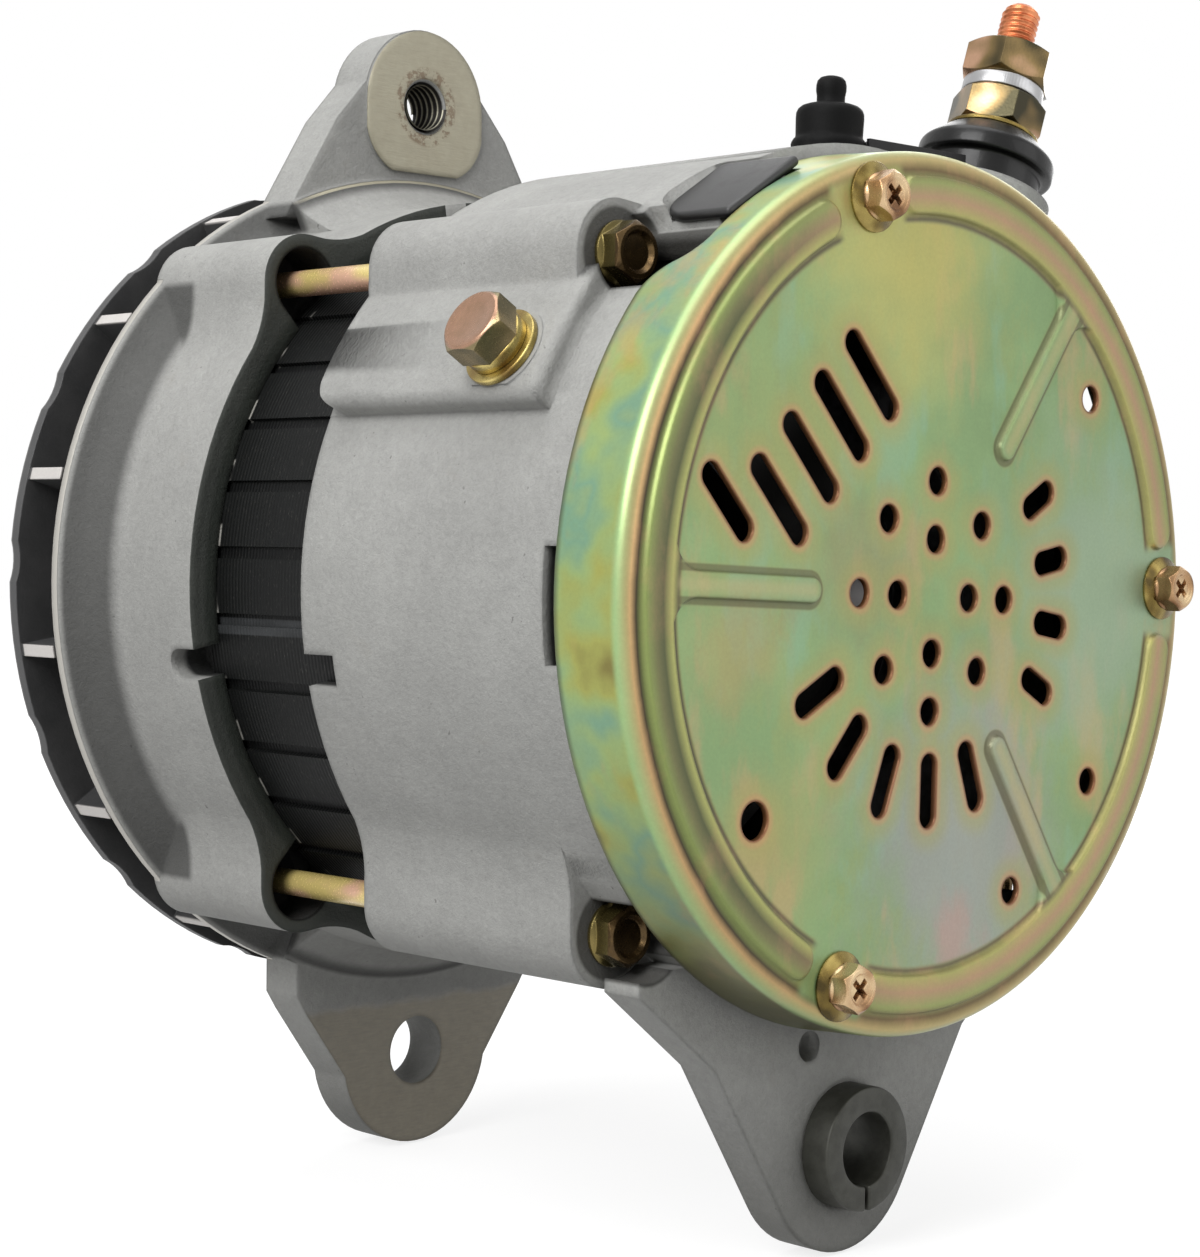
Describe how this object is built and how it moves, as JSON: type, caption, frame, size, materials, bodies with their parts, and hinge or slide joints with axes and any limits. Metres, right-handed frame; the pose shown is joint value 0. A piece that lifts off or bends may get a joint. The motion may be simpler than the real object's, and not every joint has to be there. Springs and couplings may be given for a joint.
{
  "type": "alternator",
  "caption": "Vehicle alternator with two cast casings bolted round a laminated core, a slotted plated rear cover, mounting ear and pivot lugs, top terminals and an outside radial fan.",
  "frame": {"origin": "on the shaft's axis, in the plane of the fan's front face where the pulley seats", "axes": "+Y along the shaft towards the drive end, +Z from the shaft to the adjusting ear, the pivot lugs at -Z"},
  "size_m": [0.179, 0.2192, 0.2494],
  "materials": {
    "cast_casing": "matte cast",
    "plated_sheet": "yellow zinc, satin",
    "plated_steel": "yellow zinc",
    "plated_nut": "pale yellow zinc",
    "dark_steel": "oiled",
    "core_laminations": "black varnish",
    "copper_winding": "varnished copper wire",
    "bearing_steel": "ground",
    "plain_steel": "machined",
    "claw_steel": "forged",
    "copper_stud": "copper plated",
    "fan_steel": "grey",
    "black_plastic": "moulded",
    "carbon": "carbon",
    "plate_aluminium": "plain",
    "gloss_insulator": "glossy",
    "black_rubber": "matte"
  },
  "bodies": {
    "casing": {"front_housing": "cast_casing", "rear_housing": "cast_casing", "rear_cover": "plated_sheet", "cover_screws": "plated_steel", "cover_washers": "plated_steel", "through_bolts": "plated_steel", "pivot_bush": "dark_steel", "stator_core": "core_laminations", "stator_winding": "copper_winding", "front_bearing_outer": "bearing_steel", "front_bearing_balls": "bearing_steel", "rear_bearing_outer": "bearing_steel", "rear_bearing_balls": "bearing_steel", "bearing_retainer": "plain_steel", "retainer_screws": "plain_steel", "brush_holder": "black_plastic", "brushes": "carbon", "regulator": "black_plastic", "rectifier_plate_positive": "plate_aluminium", "rectifier_plate_negative": "plate_aluminium", "rectifier_diodes": "plain_steel", "rectifier_pillars": "black_plastic", "output_stud": "copper_stud", "output_insulator": "gloss_insulator", "output_flat_washer": "plain_steel", "output_nuts": "plated_nut", "output_spring_washer": "plain_steel", "signal_terminal": "plated_steel", "signal_cap": "black_rubber", "terminal_base": "black_plastic", "ground_bolt": "plated_steel", "ground_spring_washer": "plated_steel", "ground_flat_washer": "plated_steel", "rubber_flap": "black_rubber"},
    "rotor": {"shaft": "plain_steel", "fan_collar": "plain_steel", "front_claw": "claw_steel", "rear_claw": "claw_steel", "field_coil": "copper_winding", "slip_rings": "copper_stud", "slip_ring_sleeve": "black_plastic", "cooling_fan": "fan_steel", "front_bearing_inner": "bearing_steel", "rear_bearing_inner": "bearing_steel"}
  },
  "joints": [
    {"name": "rotor_spin", "type": "hinge", "parent": "casing", "child": "rotor", "pos_m": [0, 0, 0], "axis": [0, 1, 0], "continuous": true}
  ]
}
